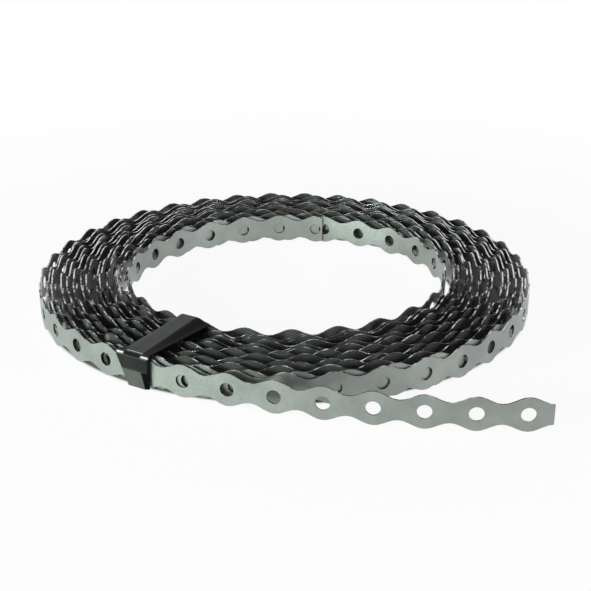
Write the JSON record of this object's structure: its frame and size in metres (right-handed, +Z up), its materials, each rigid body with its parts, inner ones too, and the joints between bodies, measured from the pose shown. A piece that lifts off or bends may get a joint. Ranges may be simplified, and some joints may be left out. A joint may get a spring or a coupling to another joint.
{
  "type": "perforated steel strap",
  "caption": "Roll of perforated galvanised steel fixing strap with wavy edges, lying flat, bound by a black clip, its free end drawn out.",
  "frame": {"origin": "on the roll's axis, at the floor that the roll lies on", "axes": "+Z up along the roll's axis, -Y to the front, +X to the side that the free end points to"},
  "size_m": [0.276, 0.3012, 0.0205],
  "materials": {
    "galvanised_steel": "satin",
    "black_lacquered_steel": "satin"
  },
  "bodies": {
    "root": {"strap": "galvanised_steel", "clip": "black_lacquered_steel"}
  },
  "joints": []
}
